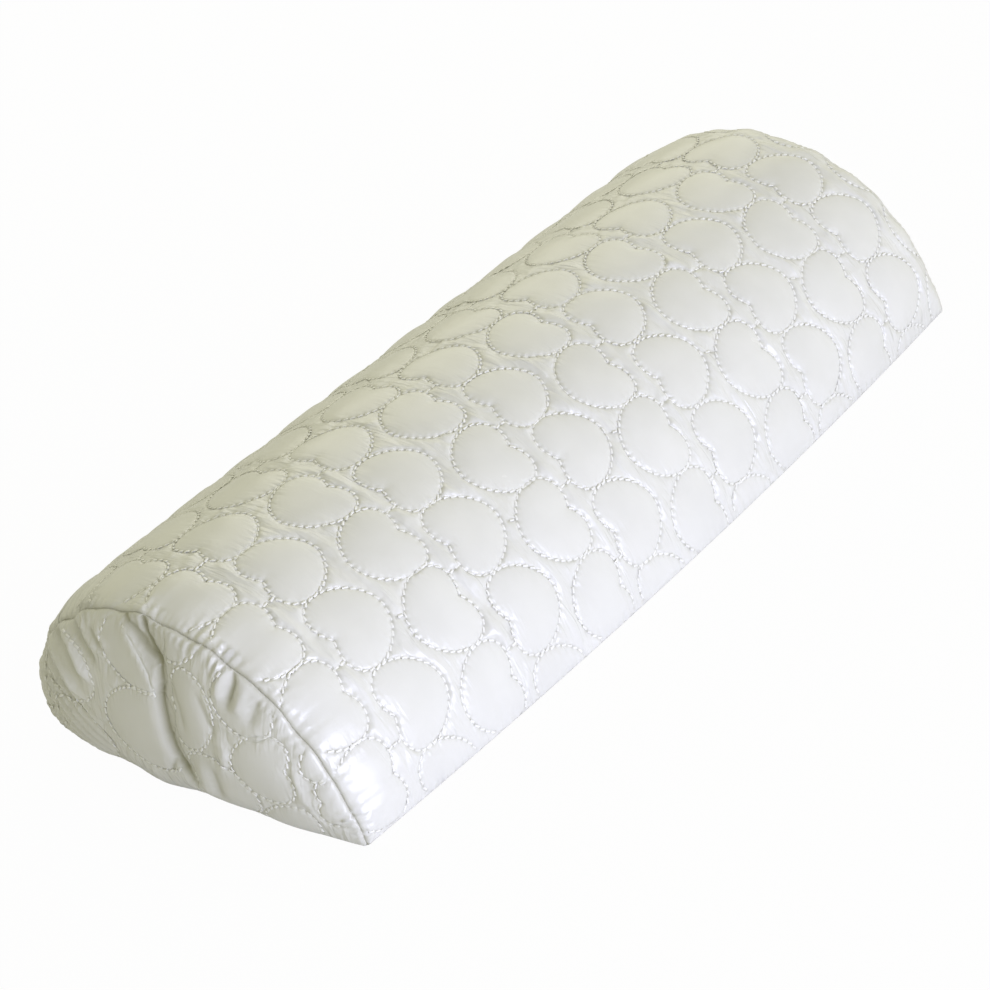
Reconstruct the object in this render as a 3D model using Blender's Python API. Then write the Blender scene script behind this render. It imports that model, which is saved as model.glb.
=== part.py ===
"""Quilted hand rest: a half-round foam core in a sewn cover of four panels.

The cover is one arched top panel, a flat base panel and two D-shaped end panels.
Top and ends are padded cloth, stitched through in columns of hearts that lie on
their sides. X runs along the cushion, Y across it, Z up from the table.
Units are metres.
"""
import math

import bmesh
import bpy
import numpy as np
from mathutils.geometry import delaunay_2d_cdt

# Cushion, measured over its seams
CUSHION_LENGTH = 0.300
CUSHION_WIDTH = 0.131
CUSHION_HEIGHT = 0.0572
FOOT_SPREAD = 0.0035         # how far each long side bows out at the table
FOOT_SPREAD_REACH = 0.015    # height over which that bow dies away

# Sewn panels
PANEL_THICKNESS = 0.003      # at the stitches, where the padding is pressed flat
SEAM_GAP = 0.0003            # clearance between two panels, and from panel to foam
END_BULGE = 0.0135           # how far an end panel bellies out
END_BULGE_AT_BASE = 0.3      # share of that bulge left where the panel meets the base
END_TUCK = 0.009             # height over which the bulge turns under to the base
END_FULLNESS = 0.7           # 1 for a shallow dome, less for one that rises at once from its seam
FOAM_END_EASE = 0.0015       # slack between the foam's ends and the end panels

# Quilting: a heart is two leaning ellipses, mirrored about its axis
LOBE_LENGTH = 0.0236
LOBE_BREADTH = 0.0169
LOBE_LEAN = math.radians(35)
LOBE_FORWARD = 0.0005        # how far the lobes' centres sit towards the tip
ROW_PITCH = 0.0253           # hearts in a column touch, so this is also a heart's breadth
COLUMN_PITCH = 0.0491        # from one column to the next that faces the same way
RETURN_COLUMN_ALONG = 0.0239  # from a column to the one that faces back at it
RETURN_COLUMN_ACROSS = 0.0131
PATTERN_TILT = math.radians(-1.2)
HEART_PUFF = 0.0019          # padding above the stitches, inside a heart
HEART_FULLNESS = 3           # 2 for a dome, more for a flatter top with steeper sides
SLACK_PUFF = 0.0005          # padding above the stitches, between hearts
SLACK_FULLNESS = 0.12        # share of a heart's radius over which the slack cloth rises
SLACK_AHEAD = 0.0065         # places of the slack cloth round a heart, along its axis
SLACK_BEHIND = 0.0080
SLACK_AT_NOTCH = 0.0110
SEAM_PRESS = 0.0035          # distance from a seam over which the padding fills out again
WADDING_RISE = 0.0013        # how far the wadding lifts the top's stitch lines above its seams
WADDING_REACH = 0.0065       # distance from a seam over which it does so

# Where one heart of the pattern lies: on the top from the crown line and mid-length,
# on the far end from the middle of its base seam
TOP_PATTERN_START = (-0.0165, 0.0040)
END_PATTERN_START = (0.0060, 0.0240)
PATTERN_SPARE = 3            # rows and columns tried beyond a panel, to reach its corners

# The near end was drawn in at its creases, so its hearts no longer keep the pattern:
# across, up, facing, turn in degrees, stretch across, stretch up
NEAR_END_HEARTS = (
    (0.0070, 0.0475, 1, 4, 1.12, 0.86), (0.0060, 0.0240, 1, -2, 1.22, 1.03),
    (0.0360, 0.0330, -1, 6, 1.20, 0.90), (0.0340, 0.0105, -1, 0, 1.20, 0.86),
    (-0.0165, 0.0350, -1, 0, 0.70, 0.96), (-0.0115, 0.0580, -1, 0, 0.85, 0.82),
    (-0.0345, 0.0420, 1, 10, 0.93, 0.80), (-0.0388, 0.0225, 1, -5, 0.88, 0.84),
    (-0.0225, 0.0110, -1, 5, 1.10, 0.90), (-0.0575, 0.0295, -1, 5, 0.65, 0.70),
    (-0.0615, 0.0145, -1, 0, 0.72, 0.60), (-0.0435, 0.0010, 1, 0, 0.90, 0.84),
    (0.0600, 0.0200, 1, 0, 0.95, 0.85),
)

# Cloth that is slack on the end panels
GATHER_DEPTH = 0.0006        # small pleats where the panel is eased into the arched seam
GATHER_REACH = 0.010
GATHER_COUNT = 17
FOLD_FADE = 4                # how late a fold fades out towards its ends
FOLD_SIDE = 1.3              # rows of corners beside a fold, as a share of its width
FOLD_STEP = 0.006
# Each fold: its height (sunk where negative), its width and its way across and up the panel
NEAR_END_FOLDS = (
    (-0.0021, 0.0022, ((0.0014, 0.0570), (-0.0040, 0.0485), (-0.0073, 0.0440), (-0.0070, 0.0340),
                       (-0.0080, 0.0230), (-0.0120, 0.0100))),
    (0.0010, 0.0032, ((0.0020, 0.0450), (-0.0015, 0.0340), (-0.0025, 0.0210))),
    (-0.0011, 0.0015, ((0.0090, 0.0568), (0.0030, 0.0520), (-0.0040, 0.0467))),
    (0.0010, 0.0020, ((0.0380, 0.0450), (0.0300, 0.0410), (0.0230, 0.0350))),
    (-0.0008, 0.0014, ((0.0340, 0.0470), (0.0270, 0.0425), (0.0200, 0.0385))),
    (-0.0014, 0.0014, ((-0.0310, 0.0505), (-0.0312, 0.0455), (-0.0300, 0.0400))),
    (0.0010, 0.0020, ((-0.0271, 0.0500), (-0.0265, 0.0400))),
    (0.0010, 0.0020, ((-0.0355, 0.0460), (-0.0320, 0.0370))),
    (0.0008, 0.0022, ((-0.0175, 0.0210), (-0.0160, 0.0070))),
    (0.0006, 0.0018, ((-0.0262, 0.0320), (-0.0250, 0.0170))),
)
FAR_END_FOLDS = (
    (-0.0010, 0.0020, ((0.0200, 0.0500), (0.0145, 0.0355))),
    (-0.0010, 0.0020, ((-0.0236, 0.0480), (-0.0183, 0.0343))),
)

# Fineness of the meshes
LOBE_STEPS = 8               # edges along one lobe of a heart
HEART_RING = 0.62            # where a heart's padding levels off, as a share of its radius
ARCH_STEPS = 36
LENGTH_STEPS = 6
LONG_SEAM_STEPS = 60
BASE_SEAM_STEPS = 14
SHOULDER_RINGS = (0.002, 0.005, 0.010)
FILL_SPACING = 0.009
FILL_MARGIN = 0.0019         # the least distance from a seam to a corner of the even fill
WELD = 0.0002                # corners of the quilted faces nearer than this are one
TWIN_WELD = 0.00001          # the same for a lining, whose rim has to keep every corner
STITCH_MARGIN = 0.0008       # the least distance from a seam to a corner inside it
SHARP_EDGE = math.radians(24)
BEYOND = 9.0                 # further off than anything on the cushion
TINY = 1e-9                  # keeps a division at a heart's centre from failing

CLOTH = {"colour": (0.80, 0.80, 0.76, 1.0), "roughness": 0.42}
LINING = {"colour": (0.78, 0.78, 0.75, 1.0), "roughness": 0.60}
FOAM = {"colour": (0.86, 0.84, 0.74, 1.0), "roughness": 0.95}

ARCH_RADIUS = (CUSHION_WIDTH ** 2 / 4 + CUSHION_HEIGHT ** 2) / (2 * CUSHION_HEIGHT)
ARCH_CENTRE_Z = CUSHION_HEIGHT - ARCH_RADIUS
SEAM_SHIFT = SEAM_GAP * math.sqrt(2)   # two mitred edges this far apart keep SEAM_GAP between them


def settle(x, y, z):
    """Bow the long sides outwards near the table, as the foam's weight does."""
    along = max(0.0, 1 - (2 * x / CUSHION_LENGTH) ** 2)
    bow = FOOT_SPREAD * along * math.exp(-z / FOOT_SPREAD_REACH)
    return x, y * (1 + bow / (CUSHION_WIDTH / 2)), z


def arch_half_angle(inset):
    """Angle from the crown to the foot of the arch that lies inset below the cover."""
    return math.acos((inset - ARCH_CENTRE_Z) / (ARCH_RADIUS - inset))


def arch_half_width(z, inset):
    """Half the arch's width at a height."""
    return math.sqrt(max(0.0, (ARCH_RADIUS - inset) ** 2 - (z - ARCH_CENTRE_Z) ** 2))


def end_dome(y, z, inset, bulge):
    """How far an end layer stands out beyond the flat end of its arch."""
    inside = 1 - (y ** 2 + (z - ARCH_CENTRE_Z) ** 2) / (ARCH_RADIUS - inset) ** 2
    tucked = 1 - math.exp(-max(0.0, z - inset) / END_TUCK)
    share = END_BULGE_AT_BASE + (1 - END_BULGE_AT_BASE) * tucked
    return bulge * max(0.0, inside) ** END_FULLNESS * share


def place_on_top(point, inset, rise):
    """Wrap a flat point (along, across from the crown) of the top panel on to its arch."""
    along, across = point
    full = CUSHION_LENGTH / 2 - SEAM_SHIFT
    angle = across / ARCH_RADIUS * arch_half_angle(inset) / arch_half_angle(0)
    radius = ARCH_RADIUS - inset + rise
    x = along * (full - inset) / full
    return settle(x, radius * math.sin(angle), ARCH_CENTRE_Z + radius * math.cos(angle))


def place_on_end(side, point, inset, rise, bulge=END_BULGE):
    """Place a point (across, up) of an end panel's D shape on the layer that lies inset below."""
    across, up = point
    half = arch_half_width(up, 0)
    share = across / half if half > WELD else 0.0
    z = inset + up / CUSHION_HEIGHT * (CUSHION_HEIGHT - 2 * inset)
    y = max(-1.0, min(1.0, share)) * arch_half_width(z, inset)
    x = side * (CUSHION_LENGTH / 2 - inset + end_dome(y, z, inset, bulge) + rise)
    return settle(x, y, z)


def lobe_reach():
    """How far a leaning lobe reaches sideways from its own centre."""
    return math.hypot(LOBE_LENGTH / 2 * math.sin(LOBE_LEAN), LOBE_BREADTH / 2 * math.cos(LOBE_LEAN))


def lobe_centre():
    """Centre of a heart's upper lobe. It reaches half a row, so that hearts touch."""
    return LOBE_FORWARD, ROW_PITCH / 2 - lobe_reach()


def heart_outline():
    """Points round one heart, tip towards +X, from the tip over the upper lobe and back."""
    centre_x, centre_y = lobe_centre()
    long_half, short_half = LOBE_LENGTH / 2, LOBE_BREADTH / 2
    sine, cosine = math.sin(-LOBE_LEAN), math.cos(-LOBE_LEAN)
    top = math.atan2(short_half * cosine, long_half * sine)
    span = math.acos(max(-1.0, min(1.0, -centre_y / lobe_reach())))
    upper = []
    for step in range(LOBE_STEPS + 1):
        turn = top + span * (2 * step / LOBE_STEPS - 1)
        x = centre_x + long_half * math.cos(turn) * cosine - short_half * math.sin(turn) * sine
        y = centre_y + long_half * math.cos(turn) * sine + short_half * math.sin(turn) * cosine
        upper.append((x, y))
    lower = [(x, -y) for x, y in reversed(upper[1:-1])]
    return upper + lower


def heart_radius(x, y):
    """Distance from a heart's centre to its outline, in the direction of each (x, y)."""
    centre_x, centre_y = lobe_centre()
    sine, cosine = math.sin(-LOBE_LEAN), math.cos(-LOBE_LEAN)
    reach = np.hypot(x, y) + TINY
    dx, dy = x / reach, np.abs(y) / reach
    ray_x = (dx * cosine + dy * sine) / (LOBE_LENGTH / 2)
    ray_y = (dy * cosine - dx * sine) / (LOBE_BREADTH / 2)
    from_x = -(centre_x * cosine + centre_y * sine) / (LOBE_LENGTH / 2)
    from_y = (centre_x * sine - centre_y * cosine) / (LOBE_BREADTH / 2)
    a = ray_x ** 2 + ray_y ** 2
    b = ray_x * from_x + ray_y * from_y
    c = from_x ** 2 + from_y ** 2 - 1
    return (np.sqrt(np.maximum(b * b - a * c, 0)) - b) / a


def heart_places(start, half_along, low_across, high_across):
    """Hearts of the regular pattern that touch a panel: centre, facing, turn and stretch."""
    cosine, sine = math.cos(PATTERN_TILT), math.sin(PATTERN_TILT)
    columns = int(half_along / COLUMN_PITCH) + PATTERN_SPARE
    rows = int((high_across - low_across) / ROW_PITCH) + PATTERN_SPARE
    places = []
    for column in range(-columns, columns + 1):
        for row in range(-rows, rows + 1):
            for facing in (1, -1):
                u = column * COLUMN_PITCH + (RETURN_COLUMN_ALONG if facing < 0 else 0.0)
                v = row * ROW_PITCH + (RETURN_COLUMN_ACROSS if facing < 0 else 0.0)
                along = start[0] + u * cosine - v * sine
                across = start[1] + u * sine + v * cosine
                near = low_across - ROW_PITCH < across < high_across + ROW_PITCH
                if near and abs(along) < half_along + ROW_PITCH:
                    places.append((along, across, facing, PATTERN_TILT, 1.0, 1.0))
    return places


def in_heart_frame(place, local):
    """Turn a heart's own point into the flat panel's coordinates."""
    along, across, facing, turn, longer, wider = place
    x, y = local[0] * facing * longer, local[1] * wider
    return (along + x * math.cos(turn) - y * math.sin(turn),
            across + x * math.sin(turn) + y * math.cos(turn))


def padding_rise(points, places):
    """Height of the padding above the stitches at each flat point."""
    points = np.array(points)
    nearest = np.full(len(points), BEYOND)
    for along, across, facing, turn, longer, wider in places:
        du, dv = points[:, 0] - along, points[:, 1] - across
        x = (du * math.cos(turn) + dv * math.sin(turn)) * facing / longer
        y = (dv * math.cos(turn) - du * math.sin(turn)) / wider
        nearest = np.minimum(nearest, np.hypot(x, y) / heart_radius(x, y))
    inside = HEART_PUFF * (1 - np.minimum(nearest, 1) ** HEART_FULLNESS)
    between = SLACK_PUFF * (1 - np.exp(-np.maximum(nearest - 1, 0) / SLACK_FULLNESS))
    return inside + between


def follow_path(point, path):
    """Distance of a flat point from a path, and the share of the way along it."""
    length = sum(math.dist(a, b) for a, b in zip(path, path[1:]))
    best, place, travelled = BEYOND, 0.0, 0.0
    for a, b in zip(path, path[1:]):
        run = math.dist(a, b)
        share = ((point[0] - a[0]) * (b[0] - a[0]) + (point[1] - a[1]) * (b[1] - a[1])) / run ** 2
        share = max(0.0, min(1.0, share))
        away = math.dist(point, (a[0] + share * (b[0] - a[0]), a[1] + share * (b[1] - a[1])))
        if away < best:
            best, place = away, (travelled + share * run) / length
        travelled += run
    return best, place


def fold_rise(point, folds):
    """Ridges and valleys of the folds at a flat point."""
    rise = 0.0
    for height, width, path in folds:
        away, place = follow_path(point, path)
        fade = max(0.0, 1 - (2 * place - 1) ** FOLD_FADE)
        rise += height * fade * math.exp(-(away / width) ** 2)
    return rise


def fold_points(folds):
    """Points along every fold and on both its sides."""
    points = []
    for _, width, path in folds:
        for a, b in zip(path, path[1:]):
            run = math.dist(a, b)
            across = (-(b[1] - a[1]) / run, (b[0] - a[0]) / run)
            steps = max(1, round(run / FOLD_STEP))
            for step in range(steps + 1):
                x = a[0] + (b[0] - a[0]) * step / steps
                y = a[1] + (b[1] - a[1]) * step / steps
                for offset in (-FOLD_SIDE * width, 0.0, FOLD_SIDE * width):
                    points.append((x + across[0] * offset, y + across[1] * offset))
    return points


def gather_rise(point):
    """Pleats that fan in from the arched seam and die away over GATHER_REACH."""
    radius = math.hypot(point[0], point[1] - ARCH_CENTRE_Z)
    angle = math.atan2(point[0], point[1] - ARCH_CENTRE_Z)
    depth = ARCH_RADIUS - radius
    return GATHER_DEPTH * math.exp(-depth / GATHER_REACH) * math.cos(2 * GATHER_COUNT * angle)


def seam_share(point, outline, reach):
    """How much of a rise a point has: none at a seam, all of it further in."""
    return 1 - math.exp(-edge_distance(point, outline) / reach)


def is_inside(point, outline):
    """Even-odd test of a flat point against a closed outline."""
    x, y = point
    inside = False
    for (x0, y0), (x1, y1) in zip(outline, outline[1:] + outline[:1]):
        if (y0 > y) != (y1 > y) and x < x0 + (y - y0) / (y1 - y0) * (x1 - x0):
            inside = not inside
    return inside


def edge_distance(point, outline):
    """Distance from a flat point to a closed outline."""
    x, y = point
    best = BEYOND
    for (x0, y0), (x1, y1) in zip(outline, outline[1:] + outline[:1]):
        run_x, run_y = x1 - x0, y1 - y0
        share = ((x - x0) * run_x + (y - y0) * run_y) / (run_x ** 2 + run_y ** 2)
        share = max(0.0, min(1.0, share))
        best = min(best, math.hypot(x - x0 - share * run_x, y - y0 - share * run_y))
    return best


def triangulate(outline, lines, loose, weld):
    """Triangles that fill an outline, with edges along the lines and a corner at each point."""
    points = list(outline)
    edges = [(i, (i + 1) % len(outline)) for i in range(len(outline))]
    for line in lines:
        first = len(points)
        points += line
        edges += [(first + i, first + i + 1) for i in range(len(line) - 1)]
    points += loose
    found = delaunay_2d_cdt(points, edges, [], 0, weld)
    corners = [tuple(corner) for corner in found[0]]
    triangles = []
    for triangle in found[2]:
        middle = [sum(corners[i][k] for i in triangle) / 3 for k in (0, 1)]
        if is_inside(middle, outline):
            triangles.append(tuple(triangle))
    return corners, triangles, found[3]


def rim_loop(triangles):
    """Corners along the edge of a flat sheet, in order."""
    following = {}
    sides = {(t[i], t[(i + 1) % 3]) for t in triangles for i in range(3)}
    for a, b in sides:
        if (b, a) not in sides:
            following[a] = b
    first = next(iter(following))
    loop = [first]
    while following[loop[-1]] != first:
        loop.append(following[loop[-1]])
    return loop


def quilt_sheet(outline, places, loose):
    """Flat triangles of a quilted face, with the hearts' stitch lines as edges."""
    lines = []
    for place in places:
        heart = [in_heart_frame(place, local) for local in heart_outline()]
        kept = [p for p in heart if edge_distance(p, outline) > STITCH_MARGIN]
        if any(is_inside(p, outline) for p in kept):
            lines.append(kept + kept[:1])
            ring = [(x * HEART_RING, y * HEART_RING) for x, y in heart_outline()]
            inner = ring + [(0.0, 0.0), (SLACK_AHEAD, ROW_PITCH / 2), (-SLACK_BEHIND, ROW_PITCH / 2),
                            (-SLACK_AT_NOTCH, 0.0)]
            loose = loose + [in_heart_frame(place, local) for local in inner]
    loose = [p for p in loose if is_inside(p, outline) and edge_distance(p, outline) > STITCH_MARGIN]
    corners, triangles, _ = triangulate(outline, lines, loose, WELD)
    return corners, triangles


def new_object(name, corners, faces, finish):
    """One closed body from corners and faces, with its own material."""
    mesh = bpy.data.meshes.new(name)
    work = bmesh.new()
    verts = [work.verts.new(corner) for corner in corners]
    for face in faces:
        work.faces.new([verts[i] for i in face])
    loose = [vert for vert in work.verts if not vert.link_faces]
    bmesh.ops.delete(work, geom=loose, context="VERTS")
    bmesh.ops.recalc_face_normals(work, faces=work.faces)
    work.to_mesh(mesh)
    work.free()
    mesh.shade_smooth()
    mesh.set_sharp_from_angle(angle=SHARP_EDGE)
    material = bpy.data.materials.new(name)
    material.use_nodes = True
    shader = material.node_tree.nodes["Principled BSDF"]
    shader.inputs["Base Color"].default_value = finish["colour"]
    shader.inputs["Roughness"].default_value = finish["roughness"]
    shader.inputs["Metallic"].default_value = 0.0
    mesh.materials.append(material)
    part = bpy.data.objects.new(name, mesh)
    bpy.context.collection.objects.link(part)
    return part


def sewn_panel(name, face, lining_lines, lining_points, place_face, place_lining, finish):
    """Padded panel: quilted face, plain lining, and a mitred edge that joins them."""
    corners, triangles = face
    loop = rim_loop(triangles)
    outline = [corners[i] for i in loop]
    solid = [place_face(corner) for corner in corners]
    faces = list(triangles)
    inner, inner_faces, origin = triangulate(outline, lining_lines(outline), lining_points, TWIN_WELD)
    first = len(solid)
    solid += [place_lining(corner) for corner in inner]
    faces += [tuple(first + i for i in reversed(triangle)) for triangle in inner_faces]
    twin = {}
    for index, sources in enumerate(origin):
        for source in sources:
            if source < len(outline):
                twin[source] = first + index
    for i in range(len(loop)):
        j = (i + 1) % len(loop)
        faces.append((loop[j], loop[i], twin[i], twin[j]))
    return new_object(name, solid, faces, finish)


def top_panel():
    """Arched panel over the whole length, from one long base seam to the other."""
    half_along = CUSHION_LENGTH / 2 - SEAM_SHIFT
    half_across = ARCH_RADIUS * arch_half_angle(0)
    corner_points = [(-half_along, -half_across), (half_along, -half_across),
                     (half_along, half_across), (-half_along, half_across)]
    steps = [LONG_SEAM_STEPS, ARCH_STEPS, LONG_SEAM_STEPS, ARCH_STEPS]
    outline = []
    for (x0, y0), (x1, y1), count in zip(corner_points, corner_points[1:] + corner_points[:1], steps):
        outline += [(x0 + (x1 - x0) * i / count, y0 + (y1 - y0) * i / count) for i in range(count)]
    places = heart_places(TOP_PATTERN_START, half_along, -half_across, half_across)
    face = quilt_sheet(outline, places, [])
    rises = padding_rise(face[0], places)
    lift = {}
    for corner, rise in zip(face[0], rises):
        wadding = WADDING_RISE * seam_share(corner, outline, WADDING_REACH)
        lift[corner] = rise * seam_share(corner, outline, SEAM_PRESS) + wadding

    def lining_lines(rim):
        lines = []
        for step in range(1, ARCH_STEPS):
            across = half_across * (2 * step / ARCH_STEPS - 1)
            ends = [min(rim, key=lambda p: math.dist(p, (side * half_along, across))) for side in (-1, 1)]
            between = [(half_along * (2 * i / LENGTH_STEPS - 1), across) for i in range(1, LENGTH_STEPS)]
            lines.append([ends[0]] + between + [ends[1]])
        return lines

    return sewn_panel("top_panel", face, lining_lines, [],
                      lambda p: place_on_top(p, 0, lift[p]),
                      lambda p: place_on_top(p, PANEL_THICKNESS, 0), CLOTH)


def end_outline():
    """D shape of an end: along the base seam, then back over the arch."""
    half = arch_half_angle(0)
    base = [(CUSHION_WIDTH * (i / BASE_SEAM_STEPS - 0.5), 0.0) for i in range(BASE_SEAM_STEPS)]
    arch = []
    for i in range(ARCH_STEPS):
        angle = half * (1 - 2 * i / ARCH_STEPS)
        arch.append((ARCH_RADIUS * math.sin(angle), ARCH_CENTRE_Z + ARCH_RADIUS * math.cos(angle)))
    return base + arch


def end_fill(outline, rings):
    """Points that carry an end's dome: rings inside the arched seam and an even fill."""
    points = []
    half = arch_half_angle(0)
    for ring in rings:
        radius = ARCH_RADIUS - ring
        for i in range(1, ARCH_STEPS):
            angle = half * (1 - 2 * i / ARCH_STEPS)
            points.append((radius * math.sin(angle), ARCH_CENTRE_Z + radius * math.cos(angle)))
    across = int(CUSHION_WIDTH / 2 / FILL_SPACING)
    up = int(CUSHION_HEIGHT / FILL_SPACING)
    for i in range(-across, across + 1):
        for j in range(up + 1):
            points.append((i * FILL_SPACING, (j + 0.5) * FILL_SPACING))
    return [p for p in points if is_inside(p, outline) and edge_distance(p, outline) > FILL_MARGIN]


def end_panel(name, side, places, folds):
    """D-shaped panel that closes one end and bellies out over the foam."""
    outline = end_outline()
    rings = end_fill(outline, SHOULDER_RINGS)
    face = quilt_sheet(outline, places, fold_points(folds) + rings[:len(SHOULDER_RINGS) * (ARCH_STEPS - 1)])
    rises = padding_rise(face[0], places)
    lift = {}
    for corner, rise in zip(face[0], rises):
        relief = rise + fold_rise(corner, folds) + gather_rise(corner)
        lift[corner] = relief * seam_share(corner, outline, SEAM_PRESS)
    return sewn_panel(name, face, lambda rim: [], rings,
                      lambda p: place_on_end(side, p, 0, lift[p]),
                      lambda p: place_on_end(side, p, PANEL_THICKNESS, 0), CLOTH)


def base_panel():
    """Flat panel under the cushion, mitred against the top and end panels."""
    def edge_loop(inset):
        half_y = arch_half_width(inset, inset) - SEAM_SHIFT
        loop = []
        for side in (-1, 1):
            for i in range(BASE_SEAM_STEPS + 1):
                y = side * half_y * (1 - 2 * i / BASE_SEAM_STEPS)
                x = side * (CUSHION_LENGTH / 2 - inset - SEAM_SHIFT + end_dome(y, inset, inset, END_BULGE))
                loop.append(settle(x, y, inset))
            for i in range(1, LENGTH_STEPS * 2):
                x = side * (CUSHION_LENGTH / 2 - inset - SEAM_SHIFT) * (1 - i / LENGTH_STEPS)
                loop.append(settle(x, -side * half_y, inset))
        return loop

    under = edge_loop(0.0)
    upper = edge_loop(PANEL_THICKNESS)
    count = len(under)
    faces = [tuple(reversed(range(count))), tuple(range(count, 2 * count))]
    faces += [(i, (i + 1) % count, count + (i + 1) % count, count + i) for i in range(count)]
    return new_object("base_panel", under + upper, faces, LINING)


def foam_core():
    """Half-round block that fills the cover and gives the cushion its shape."""
    inset = PANEL_THICKNESS + SEAM_GAP
    bulge = END_BULGE - FOAM_END_EASE
    outline = end_outline()
    flat, triangles, origin = triangulate(outline, [], end_fill(outline, ()), TWIN_WELD)
    corners, faces, rims = [], [], []
    for side in (-1, 1):
        first = len(corners)
        corners += [place_on_end(side, p, inset, 0, bulge) for p in flat]
        order = (lambda t: t) if side > 0 else (lambda t: tuple(reversed(t)))
        faces += [tuple(first + i for i in order(triangle)) for triangle in triangles]
        place = {source: first + index for index, sources in enumerate(origin) for source in sources}
        rims.append([place[i] for i in range(len(outline))])
    loops = [rims[0]]
    for step in range(1, LENGTH_STEPS):
        first = len(corners)
        share = 2 * step / LENGTH_STEPS - 1
        for point in outline:
            x, y, z = place_on_end(1, point, inset, 0, 0.0)
            base_y = y / settle(1.0, 1.0, z)[1]
            corners.append(settle(share * x, base_y, z))
        loops.append(list(range(first, len(corners))))
    loops.append(rims[1])
    count = len(outline)
    for a, b in zip(loops, loops[1:]):
        faces += [(a[i], a[(i + 1) % count], b[(i + 1) % count], b[i]) for i in range(count)]
    return new_object("foam_core", corners, faces, FOAM)


for old in list(bpy.data.objects):
    bpy.data.objects.remove(old)

foam_core()
base_panel()
top_panel()
end_panel("near_end_panel", -1,
          [(across, up, facing, math.radians(turn), longer, wider)
           for across, up, facing, turn, longer, wider in NEAR_END_HEARTS], NEAR_END_FOLDS)
end_panel("far_end_panel", 1,
          heart_places(END_PATTERN_START, CUSHION_WIDTH / 2, 0.0, CUSHION_HEIGHT), FAR_END_FOLDS)
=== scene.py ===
"""Looks of the quilted hand rest: satin panels stitched in hearts over a half-round foam core.

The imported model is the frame. Flat coordinates of a panel are (along, across) in metres:
on the top they run along the cushion and round the arch from its crown, on an end
they run across the cushion and up from the table.
"""
import math

import bpy
import numpy as np
from mathutils import Matrix, Vector
from mathutils.geometry import delaunay_2d_cdt
from mathutils.kdtree import KDTree


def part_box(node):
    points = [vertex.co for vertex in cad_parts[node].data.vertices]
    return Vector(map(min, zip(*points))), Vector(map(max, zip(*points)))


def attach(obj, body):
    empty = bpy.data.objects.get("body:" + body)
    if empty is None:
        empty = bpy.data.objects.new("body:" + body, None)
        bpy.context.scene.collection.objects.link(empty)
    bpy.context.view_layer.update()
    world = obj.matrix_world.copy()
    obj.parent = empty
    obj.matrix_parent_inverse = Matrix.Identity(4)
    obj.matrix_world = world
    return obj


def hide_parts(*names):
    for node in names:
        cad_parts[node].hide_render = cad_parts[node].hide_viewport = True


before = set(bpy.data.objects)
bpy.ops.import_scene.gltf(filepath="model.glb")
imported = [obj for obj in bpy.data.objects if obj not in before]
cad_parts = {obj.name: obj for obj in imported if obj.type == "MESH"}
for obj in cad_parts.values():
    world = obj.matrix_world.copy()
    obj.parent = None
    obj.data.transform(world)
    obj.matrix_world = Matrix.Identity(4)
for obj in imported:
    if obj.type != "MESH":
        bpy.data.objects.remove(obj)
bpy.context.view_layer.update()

MM = 0.001


# Foam core: the half-round block of open-cell foam inside the cover. It is cut from
# one slab and sits loose in the sewn cover, so it keeps its solid and gets a foam finish.
foam_colour = (0.86, 0.83, 0.72, 1.0)
foam_cell = 1.1 * MM


def new_material(name, colour, roughness):
    """A node material whose constant values sit on the shader's own sockets."""
    material = bpy.data.materials.new(name)
    material.use_nodes = True
    shader = material.node_tree.nodes["Principled BSDF"]
    shader.inputs["Base Color"].default_value = colour
    shader.inputs["Roughness"].default_value = roughness
    return material, material.node_tree, shader


def add_node(tree, kind, values=None, **settings):
    """A new node of a tree, with its settings and the values on its input sockets."""
    node = tree.nodes.new(kind)
    for name, setting in settings.items():
        setattr(node, name, setting)
    for name, value in (values or {}).items():
        node.inputs[name].default_value = value
    return node


def join(source, output, target, socket):
    """A link from one node's output to another's input."""
    source.id_data.links.new(source.outputs[output], target.inputs[socket])


foam, tree, shader = new_material("open cell foam", foam_colour, 0.95)
place = add_node(tree, "ShaderNodeTexCoord")
cells = add_node(tree, "ShaderNodeTexVoronoi", {"Scale": 1 / foam_cell})
bump = add_node(tree, "ShaderNodeBump", {"Strength": 0.6, "Distance": 0.3 * MM})
join(place, "Object", cells, "Vector")
join(cells, "Distance", bump, "Height")
join(bump, "Normal", shader, "Normal")
foam_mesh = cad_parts["foam_core"].data
foam_mesh.materials.clear()
foam_mesh.materials.append(foam)


# Top panel: one arched piece of satin, wadding and lining, quilted before it was cut.
# Columns of hearts lie on their sides; every second column faces back at its neighbour.
# The cloth puffs up inside each heart, sinks to the thread and puckers across the seams.
seam_half_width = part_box("near_end_panel")[1][1]
seam_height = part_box("near_end_panel")[1][2]
seam_half_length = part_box("top_panel")[1][0]
arch_radius = (seam_half_width ** 2 + seam_height ** 2) / (2 * seam_height)
arch_centre_z = seam_height - arch_radius
foot_bow = 5.0 * MM
foot_bow_reach = 15 * MM
lining_depth = 3.0 * MM
base_seam_height = 0.45 * MM
corner_tuck = 2.4 * MM      # how far the corner behind the near end is drawn in
corner_reach = 12 * MM
seam_waver = 0.50 * MM      # how far the sewn arches leave their true curve
seam_waver_reach = 6 * MM
back_rise = 1.7 * MM        # the wadding is fullest along the back
back_line = 54 * MM
back_spread = 18 * MM

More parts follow.
